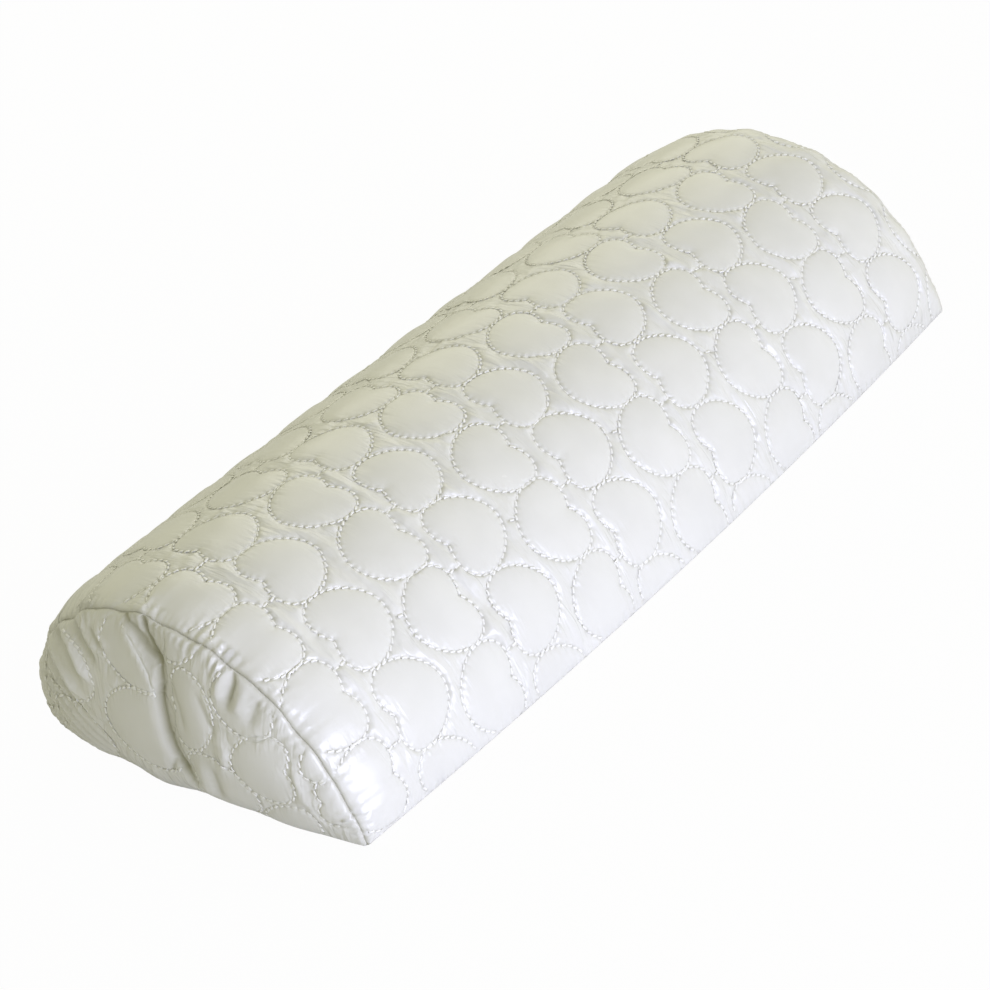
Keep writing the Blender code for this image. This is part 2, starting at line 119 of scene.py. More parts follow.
lobe_length = 23.6 * MM
lobe_breadth = 16.9 * MM
lobe_lean = math.radians(35)
lobe_forward = 0.5 * MM
lean_sine, lean_cosine = -math.sin(lobe_lean), math.cos(lobe_lean)
lobe_reach = math.hypot(lobe_length / 2 * lean_sine, lobe_breadth / 2 * lean_cosine)
row_pitch = 25.3 * MM
lobe_aside = row_pitch / 2 - lobe_reach
column_pitch = 49.1 * MM
return_along = 23.9 * MM
return_across = 13.1 * MM
pattern_tilt = math.radians(-1.2)
top_pattern_start = (-16.5 * MM, 4.0 * MM)

stitch_pitch = 2.25 * MM
wadding_rise = 2.7 * MM      # how far the wadding lifts the stitch lines above the seams
wadding_ease = 8 * MM
far_ease = 4 * MM            # the far end was stuffed closer to its seam
heart_puff = 1.15 * MM
slack_puff = 0.65 * MM
groove_depth = 0.05 * MM
hole_depth = 0.09 * MM
pucker_depth = 0.11 * MM
tuft_height = 0.45 * MM
swell_height = 0.10 * MM
front_ease = 9 * MM          # over which the lit front gives way to the back
back_start = 42 * MM
back_ease = 3 * MM
slack_ease = 2.0 * MM
groove_width = 0.7 * MM
hole_width = 0.50 * MM
hole_length = 0.42 * MM
pucker_reach = 1.1 * MM
tuft_reach = 2.4 * MM
wrinkle_lengths = (8 * MM, 2.8 * MM)
swell_lengths = (45 * MM, 14 * MM)
seam_ease = 3.0 * MM         # over which the quilting flattens towards a seam
seam_roll = 1.7 * MM
seam_sink = 0.85 * MM
gather_depth = 0.58 * MM
gather_pitch = 2.9 * MM
far_gathers, near_gathers, side_gathers = 0.15, 1.2, 0.6
seam_shade = 0.5 * MM        # how wide the painted shade along a seam is

satin_colour = (0.80, 0.795, 0.755, 1.0)
# Olive grey that stands in for shade, painted into needle holes, along seams and in creases.
painted_shade_colour = (0.41, 0.40, 0.29, 1.0)


def heart_outline(steps):
    """Fine outline of one heart, tip towards +X: two leaning ellipses, mirrored."""
    top = math.atan2(lobe_breadth * lean_cosine, lobe_length * lean_sine)
    span = math.acos(-lobe_aside / lobe_reach)
    turn = top + span * np.linspace(-1, 1, steps)
    long_part, short_part = lobe_length / 2 * np.cos(turn), lobe_breadth / 2 * np.sin(turn)
    x = lobe_forward + long_part * lean_cosine - short_part * lean_sine
    y = lobe_aside + long_part * lean_sine + short_part * lean_cosine
    return np.concatenate([np.stack([x, y], 1), np.stack([x, -y], 1)[::-1][1:]])


def heart_radius(x, y):
    """Distance from a heart's centre to its outline, in the direction of each (x, y)."""
    reach = np.hypot(x, y) + 1e-9
    dx, dy = x / reach, np.abs(y) / reach
    ray = ((dx * lean_cosine + dy * lean_sine) / (lobe_length / 2),
           (dy * lean_cosine - dx * lean_sine) / (lobe_breadth / 2))
    start = (-(lobe_forward * lean_cosine + lobe_aside * lean_sine) / (lobe_length / 2),
             (lobe_forward * lean_sine - lobe_aside * lean_cosine) / (lobe_breadth / 2))
    a = ray[0] ** 2 + ray[1] ** 2
    b = ray[0] * start[0] + ray[1] * start[1]
    c = start[0] ** 2 + start[1] ** 2 - 1
    return (np.sqrt(np.maximum(b * b - a * c, 0)) - b) / a


def lay_hearts(start, half_along, low_across, high_across, seed):
    """Hearts over a panel: centre, facing, turn and stretch, each a little off the pattern."""
    rng = np.random.default_rng(seed)
    cosine, sine = math.cos(pattern_tilt), math.sin(pattern_tilt)
    columns = int(half_along / column_pitch) + 3
    rows = int((high_across - low_across) / row_pitch) + 3
    hearts = []
    for column in range(-columns, columns + 1):
        for row in range(-rows, rows + 1):
            for facing in (1, -1):
                u = column * column_pitch + (return_along if facing < 0 else 0)
                v = row * row_pitch + (return_across if facing < 0 else 0)
                along = start[0] + u * cosine - v * sine
                across = start[1] + u * sine + v * cosine
                near = low_across - row_pitch < across < high_across + row_pitch
                if near and abs(along) < half_along + row_pitch:
                    shift = rng.normal(0, 0.35 * MM, 2)
                    turn = pattern_tilt + rng.normal(0, math.radians(1.6))
                    hearts.append((along + shift[0], across + shift[1], facing, turn, 1.0, 1.0))
    return hearts


def travelled_along(path):
    """How far along a path each of its points lies."""
    return np.concatenate([[0], np.cumsum(np.hypot(*np.diff(path, axis=0).T))])


def points_on(path, at):
    """Points on a path, at given distances along it."""
    travelled = travelled_along(path)
    return np.stack([np.interp(at, travelled, path[:, k]) for k in (0, 1)], 1)


def stitch_path(path):
    """Even stitches along a path: needle holes, and stations four to a stitch."""
    length = travelled_along(path)[-1]
    stitches = max(1, round(length / stitch_pitch))
    return points_on(path, np.linspace(0, length, stitches * 4 + 1))


def sew_hearts(hearts):
    """Stitch paths of all hearts, in the panel's flat coordinates."""
    outline = heart_outline(60)
    paths = []
    for along, across, facing, turn, longer, wider in hearts:
        cosine, sine = math.cos(turn), math.sin(turn)
        x, y = outline[:, 0] * facing * longer, outline[:, 1] * wider
        flat = np.stack([along + x * cosine - y * sine, across + x * sine + y * cosine], 1)
        paths.append(stitch_path(np.concatenate([flat[:-1], flat[:1]])))
    return paths


def search_tree(flat):
    """A tree that finds the nearest of flat points."""
    tree = KDTree(len(flat))
    for i, (x, y) in enumerate(flat):
        tree.insert((x, y, 0), i)
    tree.balance()
    return tree


class Seams:
    """Every stitch line of one panel: how far a point lies from it, and where along a stitch."""

    def __init__(self, paths, seed):
        rng = np.random.default_rng(seed)
        spots, tangents, phases, swells = [], [], [], []
        for path in paths:
            step = np.gradient(path, axis=0)
            tangents.append(step / np.hypot(*step.T)[:, None])
            spots.append(path)
            phases.append(np.arange(len(path)) / 4)
            knots = rng.uniform(0.35, 1.6, len(path) // 4 + 2)
            swells.append(np.interp(np.arange(len(path)) / 4, np.arange(len(knots)), knots))
        self.spots = np.concatenate(spots)
        self.tangents = np.concatenate(tangents)
        self.phases = np.concatenate(phases)
        self.swells = np.concatenate(swells)
        self.tree = search_tree(self.spots)

    def measure(self, flat):
        """Distance to the nearest stitch line, phase along its stitches, and pucker strength."""
        near = np.array([self.tree.find((x, y, 0))[1] for x, y in flat])
        offset = flat - self.spots[near]
        ahead = (offset * self.tangents[near]).sum(1)
        aside = np.abs(offset[:, 0] * self.tangents[near, 1] - offset[:, 1] * self.tangents[near, 0])
        half = stitch_pitch / 8
        away = np.hypot(aside, np.maximum(np.abs(ahead) - half, 0))
        return away, self.phases[near] + np.clip(ahead, -half, half) / stitch_pitch, self.swells[near]


def waves(flat, seed, count, longest, shortest):
    """Soft uneven swell over a panel, mostly from -1 to 1: plane waves at seeded angles."""
    rng = np.random.default_rng(seed)
    total = np.zeros(len(flat))
    for _ in range(count):
        length = math.exp(rng.uniform(math.log(shortest), math.log(longest)))
        angle, phase = rng.uniform(0, 2 * math.pi, 2)
        along = flat[:, 0] * math.cos(angle) + flat[:, 1] * math.sin(angle)
        total += np.sin(2 * math.pi * along / length + phase)
    return total / math.sqrt(count)


def quilt_relief(flat, hearts, seams, seed):
    """Rise of quilted cloth above its stitch level, the shade painted into its needle holes, and its
    slackness.
    """
    ratio = np.full(len(flat), 9.0)
    for along, across, facing, turn, longer, wider in hearts:
        du, dv = flat[:, 0] - along, flat[:, 1] - across
        close = np.flatnonzero(np.hypot(du, dv) < 0.8 * row_pitch)
        du, dv = du[close], dv[close]
        x = (du * math.cos(turn) + dv * math.sin(turn)) * facing / longer
        y = (dv * math.cos(turn) - du * math.sin(turn)) / wider
        ratio[close] = np.minimum(ratio[close], np.hypot(x, y) / heart_radius(x, y))
    away, phase, swell = seams.measure(flat)
    front = 1 / (1 + np.exp(flat[:, 1] / front_ease))
    back = 1 / (1 + np.exp((back_start - flat[:, 1]) / back_ease))
    inside = heart_puff * (0.65 + 0.35 * front) * (1 - np.minimum(ratio, 1) ** 3.5)
    between = slack_puff * (0.30 + 0.70 * front) * (1 - np.exp(-away / slack_ease))
    rise = np.where(ratio < 1, inside, between)
    rise -= groove_depth * np.exp(-(away / groove_width) ** 2)
    to_hole = np.abs(phase - np.round(phase)) * stitch_pitch
    hole = np.exp(-(away / hole_width) ** 2 - (to_hole / hole_length) ** 2)
    rise -= hole_depth * hole
    pucker = np.exp(-away / pucker_reach) * np.minimum(1, away / (0.35 * MM))
    rise -= pucker_depth * (0.5 + 0.5 * front) * (0.5 + swell) * pucker * np.cos(2 * math.pi * phase)
    tuft = (swell - 1) * np.exp(-away / tuft_reach) * np.minimum(1, away / (0.6 * MM))
    rise += tuft_height * (0.5 + 0.5 * front) * tuft * np.where(ratio < 1, 0.6, 1.0)
    rise += swell_height * waves(flat, seed, 14, *swell_lengths)
    crossing = waves(flat * (1.0, 0.28), seed + 1, 18, *wrinkle_lengths)
    running = waves(flat * (0.28, 1.0), seed + 2, 18, *wrinkle_lengths)
    wrinkled = np.where(ratio < 1, 0.018 + 0.07 * back, 0.24 - 0.13 * back) * MM
    wrinkled *= 1 - np.exp(-away / (0.8 * MM))
    rise += wrinkled * (1.5 * front * crossing + (1 - front) * running)
    # Olive shade is painted into the needle holes, more on the lit front; the holes also dip in the mesh.
    painted_shade = (0.10 + 0.25 * front) * hole
    slackness = np.where(ratio < 1, np.exp(-away / (1.6 * MM)), 0.7) * (1 - np.exp(-away / (0.5 * MM)))
    return rise, painted_shade, slackness


def seam_gathers(run, depth, seed, longest=8.2 * MM):
    """Uneven small pleats across a seam, strongest just inside its roll."""
    wander = 2.4 * np.sin(run / (7 * MM) + seed) + 1.5 * np.sin(run / (3.1 * MM) + 2 * seed)
    swell = 0.70 + 0.35 * np.sin(run / (11 * MM) + 3 * seed) + 0.35 * np.sin(run / (4.3 * MM) + seed)
    reach = longest * (0.58 + 0.36 * np.sin(run / (2.3 * MM) + seed))
    pleat = np.sin(2 * math.pi * run / gather_pitch + wander) * np.exp(-depth / reach)
    tuck = 0.6 * np.sin(2 * math.pi * run / stitch_pitch + 2 * wander) * np.exp(-depth / (1.5 * MM))
    pleat *= 1 - np.exp(-depth / (0.7 * MM))
    tuck *= 1 - np.exp(-depth / (0.3 * MM))
    return gather_depth * swell * (pleat + tuck)


def seam_roll_share(edge):
    """How far a panel's edge has turned in towards its seam: 1 at the seam, 0 past the roll."""
    return 1 - np.sqrt(np.clip(1 - np.clip(1 - edge / seam_roll, 0, 1) ** 2, 0, 1))


def scatter(outline, seams, extra, fill_pitch, seam_rows):
    """Flat points of a panel: dense beside stitches and seams, even in between."""
    edge_points = np.array(outline)
    following = np.roll(edge_points, -1, axis=0)
    tangent = following - np.roll(edge_points, 1, axis=0)
    tangent /= np.hypot(*tangent.T)[:, None]
    inward = np.stack([-tangent[:, 1], tangent[:, 0]], 1)
    groups = [edge_points + inward * row for row in seam_rows]
    groups = [extra] + groups if len(extra) else groups
    first = inside_points(np.concatenate(groups), outline, 0.25 * MM)
    normal = np.stack([-seams.tangents[:, 1], seams.tangents[:, 0]], 1)
    rows = [(0.0, 1), (0.42 * MM, 1), (-0.42 * MM, 1), (0.95 * MM, 1), (-0.95 * MM, 1),
            (1.7 * MM, 2), (-1.7 * MM, 2), (2.7 * MM, 3), (-2.7 * MM, 3)]
    beside = []
    for offset, every in rows:
        spots = (seams.spots + normal * offset)[::every]
        away = seams.measure(spots)[0]
        beside.append(spots[away > abs(offset) * 0.88 - 1e-6])
    beside = inside_points(np.concatenate(beside), outline, 0.25 * MM)
    beside = apart_from(beside, [edge_points, first], 0.45 * MM)
    low, high = edge_points.min(0), edge_points.max(0)
    across = np.arange(low[1], high[1], fill_pitch * 0.87)
    fill = np.array([(x + (fill_pitch / 2 if row % 2 else 0), y) for row, y in enumerate(across)
                     for x in np.arange(low[0], high[0], fill_pitch)])
    fill = inside_points(fill, outline, 0.5 * fill_pitch)
    fill = apart_from(fill, [edge_points, first, beside], 0.72 * fill_pitch)
    return np.concatenate([first, beside, fill])


def edge_distance(flat, outline):
    """Distance of flat points from a convex outline, negative outside."""
    best = np.full(len(flat), 9.0)
    for (x0, y0), (x1, y1) in zip(outline, outline[1:] + outline[:1]):
        run = math.hypot(x1 - x0, y1 - y0)
        best = np.minimum(best, ((x1 - x0) * (flat[:, 1] - y0) - (y1 - y0) * (flat[:, 0] - x0)) / run)
    return best


def inside_points(flat, outline, margin):
    return flat[edge_distance(flat, outline) > margin]


def apart_from(flat, others, gap):
    """The points that lie at least a gap away from the others."""
    tree = search_tree(np.concatenate(others))
    return flat[[tree.find((x, y, 0))[2] > gap for x, y in flat]]


def fill_outline(outline, points):
    """Triangles over an outline and the points inside it."""
    count = len(outline)
    edges = [(i, (i + 1) % count) for i in range(count)]
    corners = [Vector(p) for p in [*outline, *points]]
    found = delaunay_2d_cdt(corners, edges, [], 1, 1e-7)
    return np.array([tuple(p) for p in found[0]]), [tuple(f) for f in found[2]], found[3]


def new_object(name, data):
    """A new object at the origin, linked to the scene."""
    added = bpy.data.objects.new(name, data)
    bpy.context.scene.collection.objects.link(added)
    return added


def closed_panel(name, outline, points, face_place, lining_points, lining_place, material):
    """Closed body of a padded panel: shaped face, coarse lining and the turned edge between."""
    flat, faces, origin = fill_outline(outline, points)
    position, painted_shade, slackness = face_place(flat)
    inner, inner_faces, inner_origin = fill_outline(outline, lining_points)
    first = len(flat)
    corners = np.concatenate([position, lining_place(inner)])
    outer_of = {source: i for i, sources in enumerate(origin) for source in sources}
    inner_of = {source: first + i for i, sources in enumerate(inner_origin) for source in sources}
    count = len(outline)
    all_faces = list(faces) + [tuple(first + i for i in reversed(face)) for face in inner_faces]
    for i in range(count):
        j = (i + 1) % count
        all_faces.append((outer_of[j], outer_of[i], inner_of[i], inner_of[j]))
    mesh = bpy.data.meshes.new(name)
    mesh.from_pydata([tuple(c) for c in corners], [], all_faces)
    mesh.validate()
    flat_all = np.concatenate([flat, inner])
    # The painted shade and the slackness are stored on the mesh for the cloth's material.
    for label, values in (("painted_shade", painted_shade), ("slackness", slackness)):
        layer = mesh.attributes.new(label, "FLOAT", "POINT")
        layer.data.foreach_set("value", np.concatenate([values, np.zeros(len(inner))]).astype("f"))
    layer = mesh.uv_layers.new(name="cloth")
    loops = np.empty(len(mesh.loops), dtype=np.int32)
    mesh.loops.foreach_get("vertex_index", loops)
    layer.data.foreach_set("uv", (flat_all[loops] * 10).ravel().astype("f"))
    mesh.materials.append(material)
    mesh.shade_smooth()
    return new_object(name, mesh)


def satin_cloth(name, colour, creasing):
    """Satin: close weave, crinkled slack cloth, long thin creases along the top's back, and painted shade."""
    material, tree, shader = new_material(name, colour, 0.4)
    shader.inputs["Sheen Weight"].default_value = 0.18
    shader.inputs["Sheen Roughness"].default_value = 0.35
    shader.inputs["Specular IOR Level"].default_value = 0.6
    uv = add_node(tree, "ShaderNodeUVMap", uv_map="cloth")
    painted_shade = add_node(tree, "ShaderNodeAttribute", attribute_name="painted_shade")
    cloudy = add_node(tree, "ShaderNodeTexNoise", {"Scale": 6.0, "Detail": 4.0})
    ramp = add_node(tree, "ShaderNodeValToRGB")
    for stop, place, shade in zip(ramp.color_ramp.elements, (0.3, 0.7), (0.965, 1.02)):
        stop.position = place
        stop.color = tuple(min(1.0, c * shade) for c in colour[:3]) + (1.0,)
    # Painted shade darkens the cloth towards an olive grey where the attribute says.
    shade_tint = add_node(tree, "ShaderNodeMix", {"B": painted_shade_colour}, data_type="RGBA")
    join(uv, "UV", cloudy, "Vector")
    join(cloudy, "Fac", ramp, "Fac")
    join(ramp, "Color", shade_tint, "A")
    join(painted_shade, "Fac", shade_tint, "Factor")
    join(shade_tint, "Result", shader, "Base Color")
    glint = add_node(tree, "ShaderNodeMapRange", {"To Min": 0.21, "To Max": 0.30})
    join(cloudy, "Fac", glint, "Value")
    join(glint, "Result", shader, "Roughness")
    weave = add_node(tree, "ShaderNodeTexWave", {"Scale": 130.0, "Distortion": 1.2},
                     bands_direction="DIAGONAL")
    stretch = add_node(tree, "ShaderNodeMapping",
                       {"Rotation": (0, 0, math.radians(14)), "Scale": (1.0, 0.22, 1.0)})
    crinkle = add_node(tree, "ShaderNodeTexNoise", {"Scale": 52.0, "Detail": 1.0, "Distortion": 0.6})
    slack = add_node(tree, "ShaderNodeAttribute", attribute_name="slackness")
    masked = add_node(tree, "ShaderNodeMath", operation="MULTIPLY")
    both = add_node(tree, "ShaderNodeMath", {1: 0.006}, operation="MULTIPLY_ADD")
    join(uv, "UV", weave, "Vector")
    join(uv, "UV", stretch, "Vector")
    join(stretch, "Vector", crinkle, "Vector")
    join(crinkle, "Fac", masked, 0)
    join(slack, "Fac", masked, 1)
    join(weave, "Fac", both, 0)
    join(masked, "Value", both, 2)
    drawn_out = add_node(tree, "ShaderNodeMapping",
                         {"Rotation": (0, 0, math.radians(-6)), "Scale": (0.9, 9.0, 1.0)})
    folds = add_node(tree, "ShaderNodeTexNoise", {"Scale": 2.2, "Detail": 1.0})
    level = add_node(tree, "ShaderNodeMath", {1: 0.5}, operation="SUBTRACT")
    from_level = add_node(tree, "ShaderNodeMath", operation="ABSOLUTE")
    line = add_node(tree, "ShaderNodeMapRange", {"From Min": 0.022, "From Max": 0.0, "To Max": creasing},
                    interpolation_type="SMOOTHSTEP")
    across = add_node(tree, "ShaderNodeSeparateXYZ")
    back = add_node(tree, "ShaderNodeMapRange", {"From Min": 0.34, "From Max": 0.48})
    creased = add_node(tree, "ShaderNodeMath", operation="MULTIPLY_ADD")
    join(uv, "UV", drawn_out, "Vector")
    join(drawn_out, "Vector", folds, "Vector")
    join(folds, "Fac", level, 0)
    join(level, "Value", from_level, 0)
    join(from_level, "Value", line, "Value")
    join(uv, "UV", across, "Vector")
    join(across, "Y", back, "Value")
    join(line, "Result", creased, 0)
    join(back, "Result", creased, 1)
    join(both, "Value", creased, 2)
    bump = add_node(tree, "ShaderNodeBump", {"Strength": 0.8, "Distance": 1.0 * MM})
    join(creased, "Value", bump, "Height")
    join(bump, "Normal", shader, "Normal")
    return material


def settle(position):
    """Bow the long sides outwards near the table, and let the sewn arches waver a little."""
    along = np.clip(1 - (position[:, 0] / seam_half_length) ** 2, 0, None)
    bow = foot_bow * along * np.exp(-position[:, 2] / foot_bow_reach)
    position[:, 1] *= 1 + bow / seam_half_width
    apart = np.hypot(position[:, 0] + seam_half_length, position[:, 1] - seam_half_width)
    drawn = corner_tuck * np.exp(-(apart / corner_reach) ** 2 - position[:, 2] / (2 * corner_reach))
    position[:, 0] += drawn
    position[:, 1] -= drawn
    radius = np.hypot(position[:, 1], position[:, 2] - arch_centre_z)
    turn = np.arctan2(position[:, 1], position[:, 2] - arch_centre_z)
    run = turn * arch_radius / MM
    near = np.exp(-np.abs(seam_half_length - np.abs(position[:, 0])) / seam_waver_reach)
    raised = np.sin(np.clip(position[:, 2] / seam_height, 0, 0.5) * math.pi)
    near *= np.clip(radius / arch_radius, 0, 1) ** 10 * raised
    waver = seam_waver * near * (np.sin(run / 3.7 + 0.9) + 0.8 * np.sin(run / 2.1) + 0.6 * np.sin(run / 9.0))
    position[:, 1] += waver * np.sin(turn)
    position[:, 2] += waver * np.cos(turn)
    return position


def wrap_top(flat, rise):
    """Lay flat points of the top panel on the arch, raised along its radius."""
    angle = flat[:, 1] / arch_radius
    radius = arch_radius + rise
    return settle(np.stack([flat[:, 0], radius * np.sin(angle), arch_centre_z + radius * np.cos(angle)], 1))


top_half_across = arch_radius * math.acos((base_seam_height - arch_centre_z) / arch_radius)
top_half_along = seam_half_length


def box_outline(half_along, half_across, pitch):
    """Evenly stepped rectangle, anticlockwise."""
    corners = [(-half_along, -half_across), (half_along, -half_across),
               (half_along, half_across), (-half_along, half_across)]
    outline = []
    for (x0, y0), (x1, y1) in zip(corners, corners[1:] + corners[:1]):
        steps = round(math.hypot(x1 - x0, y1 - y0) / pitch)
        outline += [(x0 + (x1 - x0) * i / steps, y0 + (y1 - y0) * i / steps) for i in range(steps)]
    return outline


def sew_ties(hearts):
    """The short runs of stitches by which the thread steps from each heart to its neighbour."""
    outline = heart_outline(60)
    ties = []
    for a in hearts:
        if a[2] < 0:
            continue
        for b in hearts:
            apart = b[0] - a[0] - return_along + column_pitch, b[1] - a[1] - return_across + row_pitch
            if b[2] > 0 or math.hypot(*apart) > 3 * MM:
                continue
            first, second = (np.stack([h[0] + outline[:, 0] * h[2], h[1] + outline[:, 1]], 1) for h in (a, b))
            gaps = np.hypot(first[:, None, 0] - second[None, :, 0], first[:, None, 1] - second[None, :, 1])
            i, j = np.unravel_index(gaps.argmin(), gaps.shape)
            ties.append(stitch_path(np.array([first[i], second[j]])))
    return ties


top_hearts = lay_hearts(top_pattern_start, top_half_along, -top_half_across, top_half_across, 11)
# Single stitches beside the tips of one row of hearts on the lit side.
tip_ties = [stitch_path(np.array([(x - 1.8, -50.2), (x + 0.3, -51.35)]) * MM)
            for x in (-102.5, -52.5, -2.5, 46, 94)]
top_paths = sew_hearts(top_hearts) + sew_ties(top_hearts) + tip_ties
top_seams = Seams(top_paths, 12)


def wadding_lift(flat):
    """How far the wadding lifts the top's stitch lines above its seams."""
    end = top_half_along - np.abs(flat[:, 0])
    side = top_half_across - np.abs(flat[:, 1])
    ease = np.where(flat[:, 0] > 0, far_ease, wadding_ease)
    full = 1 - np.exp(-np.minimum(end / ease, side / wadding_ease))
    return full * (wadding_rise + back_rise * np.exp(-((flat[:, 1] - back_line) / back_spread) ** 2))


def top_face(flat):
    """Place of the top panel's face, with its edges rolled into the seams and gathered there."""
    rise, painted_shade, slackness = quilt_relief(flat, top_hearts, top_seams, 13)
    end = top_half_along - np.abs(flat[:, 0])
    side = top_half_across - np.abs(flat[:, 1])
    edge = np.minimum(end, side)
    rise *= 1 - np.exp(-edge / seam_ease)
    gathers = np.where(flat[:, 0] > 0, far_gathers, near_gathers)
    rise += wadding_lift(flat) + gathers * seam_gathers(flat[:, 1], end, 1.3)
    rise += side_gathers * seam_gathers(flat[:, 0], side, 4.1)
    rise -= seam_sink * np.maximum(seam_roll_share(end), 0.4 * seam_roll_share(side))
    # Painted shade along the seams at both ends.
    return wrap_top(flat, rise), np.maximum(painted_shade, 0.40 * np.exp(-(end / seam_shade) ** 2)), slackness


def top_lining(flat):
    scale = np.array([(top_half_along - lining_depth) / top_half_along, 1 - lining_depth / top_half_across])
    return wrap_top(flat * scale, np.full(len(flat), -lining_depth))


satin = satin_cloth("ivory satin", satin_colour, 0.35)
top_outline = box_outline(top_half_along, top_half_across, 0.9 * MM)
seam_rows = [0.35 * MM, 0.85 * MM, 1.6 * MM, 2.6 * MM]
top_points = scatter(top_outline, top_seams, np.empty((0, 2)), 1.55 * MM, seam_rows)
lining_grid = np.array([(x, y) for x in np.linspace(-0.94, 0.94, 14) * top_half_along
                        for y in np.linspace(-0.96, 0.96, 40) * top_half_across])
top_cover = closed_panel("top_cover", top_outline, top_points, top_face, lining_grid, top_lining, satin)
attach(top_cover, "root")
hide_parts("top_panel")


# Quilting thread of the top panel: one polyester lockstitch runs round every heart.
# Each stitch is a short plump loop that dives into a needle hole at both ends.
thread_width = 0.72 * MM
stitch_cover = 0.62          # share of the pitch that a stitch shows above the cloth
stitch_slant, slant_spread = 0.26, 0.09
thread_lift = 0.14 * MM
loop_height = 0.20 * MM
thread_colour = (0.93, 0.925, 0.885, 1.0)

thread, tree, shader = new_material("quilting thread", thread_colour, 0.42)
shader.inputs["Sheen Weight"].default_value = 0.15
place = add_node(tree, "ShaderNodeTexCoord")
ply = add_node(tree, "ShaderNodeTexWave", {"Scale": 1100.0, "Distortion": 2.0}, bands_direction="DIAGONAL")
bump = add_node(tree, "ShaderNodeBump", {"Strength": 0.5, "Distance": 0.05 * MM})
join(place, "Object", ply, "Vector")
join(ply, "Fac", bump, "Height")
join(bump, "Normal", shader, "Normal")


def stitch_tree():
    """Geometry nodes that set one bent stitch on every point, turned along its seam."""
    group = bpy.data.node_groups.new("stitches", "GeometryNodeTree")
    face = group.interface
    for way in ("INPUT", "OUTPUT"):
        face.new_socket("Geometry", in_out=way, socket_type="NodeSocketGeometry")
    for label, value in (("Stitch length", 1.8 * MM), ("Thread width", 0.4 * MM), ("Loop height", 0.3 * MM)):
        face.new_socket(label, in_out="INPUT", socket_type="NodeSocketFloat").default_value = value
    face.new_socket("Seed", in_out="INPUT", socket_type="NodeSocketInt").default_value = 1
    given = add_node(group, "NodeGroupInput")
    result = add_node(group, "NodeGroupOutput")

    def times(value, factor):
        product = add_node(group, "ShaderNodeMath", {1: factor}, operation="MULTIPLY")
        group.links.new(value, product.inputs[0])
        return product.outputs["Value"]

    length, width, height = (given.outputs[k] for k in ("Stitch length", "Thread width", "Loop height"))
    bend = add_node(group, "GeometryNodeCurveQuadraticBezier", {"Resolution": 4})
    for label, ahead, up in (("Start", -0.5, -1.0), ("Middle", 0.0, 1.6), ("End", 0.5, -1.0)):
        point = add_node(group, "ShaderNodeCombineXYZ")
        group.links.new(times(length, ahead), point.inputs["X"])
        group.links.new(times(height, up), point.inputs["Z"])
        join(point, "Vector", bend, label)
    ring = add_node(group, "GeometryNodeCurvePrimitiveCircle", {"Resolution": 5})
    group.links.new(times(width, 0.5), ring.inputs["Radius"])
    loop = add_node(group, "GeometryNodeCurveToMesh", {"Fill Caps": True})
    join(bend, "Curve", loop, "Curve")
    join(ring, "Curve", loop, "Profile Curve")
    soft = add_node(group, "GeometryNodeSetShadeSmooth")
    join(loop, "Mesh", soft, "Geometry")
    turn = add_node(group, "FunctionNodeAxesToRotation", primary_axis="Z", secondary_axis="X")
    for label, socket in (("out", "Primary Axis"), ("run", "Secondary Axis")):
        named = add_node(group, "GeometryNodeInputNamedAttribute", {"Name": label}, data_type="FLOAT_VECTOR")
        join(named, "Attribute", turn, socket)
    vary = add_node(group, "FunctionNodeRandomValue",
                    {"Min": (0.88, 1.05, 0.36), "Max": (1.08, 1.40, 0.50)}, data_type="FLOAT_VECTOR")
    join(given, "Seed", vary, "Seed")
    sown = add_node(group, "GeometryNodeInstanceOnPoints")
    join(given, "Geometry", sown, "Points")
    join(soft, "Geometry", sown, "Instance")
    join(turn, "Rotation", sown, "Rotation")
    join(vary, "Value", sown, "Scale")
    real = add_node(group, "GeometryNodeRealizeInstances")
    join(sown, "Instances", real, "Geometry")
    paint = add_node(group, "GeometryNodeSetMaterial", {"Material": thread})
    join(real, "Geometry", paint, "Geometry")
    join(paint, "Geometry", result, "Geometry")
    return group


stitches = stitch_tree()


